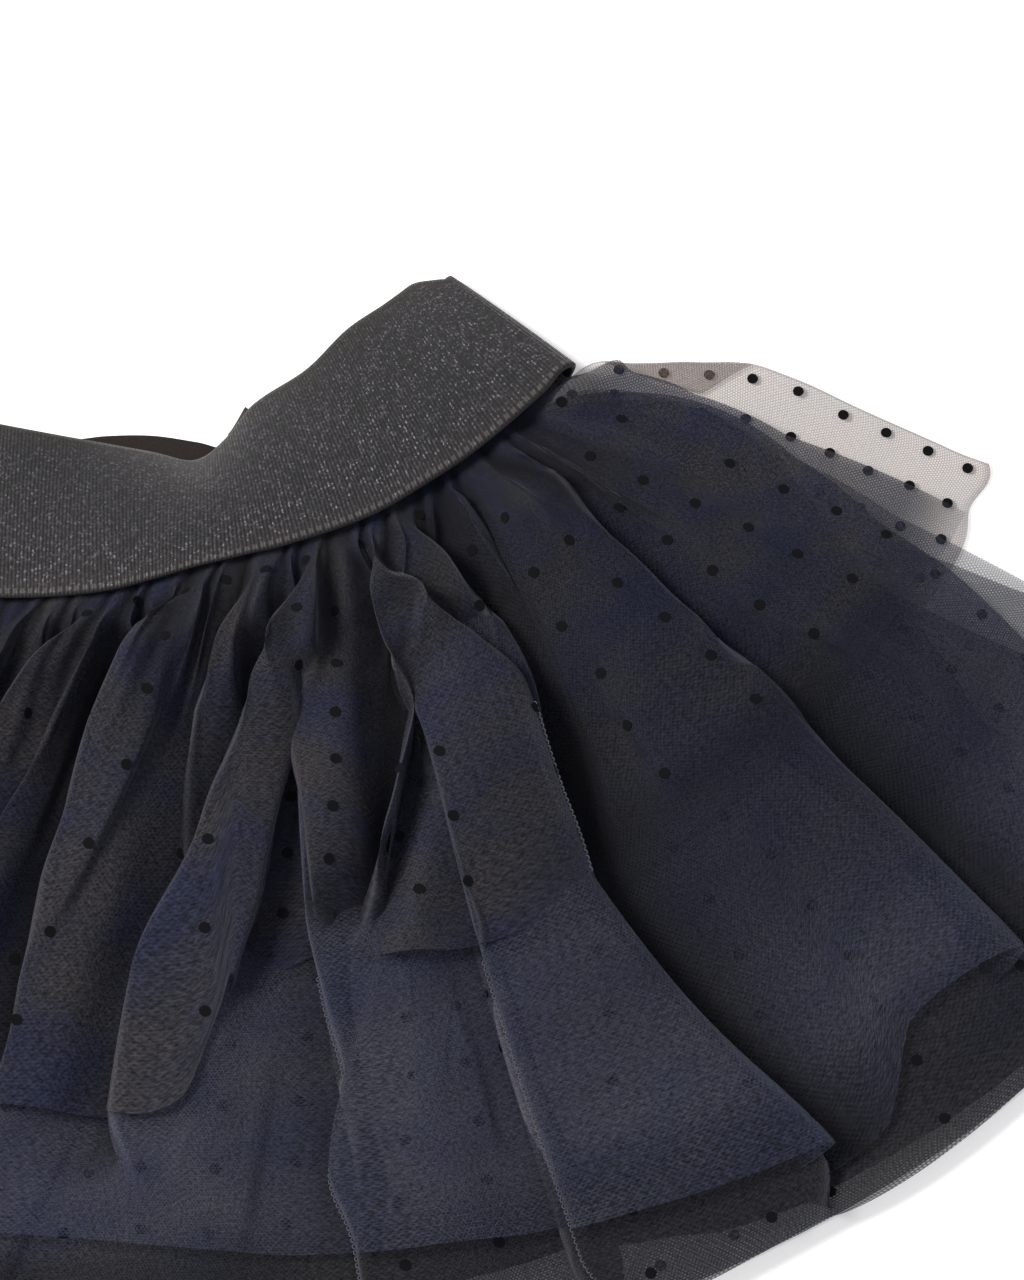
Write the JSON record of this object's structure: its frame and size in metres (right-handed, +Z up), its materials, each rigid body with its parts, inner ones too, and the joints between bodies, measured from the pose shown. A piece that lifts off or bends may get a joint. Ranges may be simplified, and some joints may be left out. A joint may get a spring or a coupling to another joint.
{
  "type": "tulle skirt",
  "caption": "Gathered three-tier tulle skirt with a wide glitter elastic waistband, lying flat and fanned out on its back.",
  "frame": {"origin": "middle of the skirt's box, on the surface it lies on", "axes": "+X along the waistband to the viewer's right, +Y from the hem towards the waist, +Z up out of the front"},
  "size_m": [0.5568, 0.299, 0.0266],
  "materials": {
    "glitter_elastic": "knitted elastic with metallic flecks",
    "dotted_tulle": "sheer net with flocked dots",
    "plain_tulle": "sheer net",
    "lining": "smooth woven cloth"
  },
  "bodies": {
    "root": {"waistband": "glitter_elastic", "waistband_join": "glitter_elastic", "upper_tier_back": "dotted_tulle", "middle_tier_back": "plain_tulle", "lower_tier_back": "dotted_tulle", "lining_back": "lining", "lining_front": "lining", "lower_tier_front": "dotted_tulle", "middle_tier_front": "plain_tulle", "upper_tier_front": "dotted_tulle"}
  },
  "joints": []
}
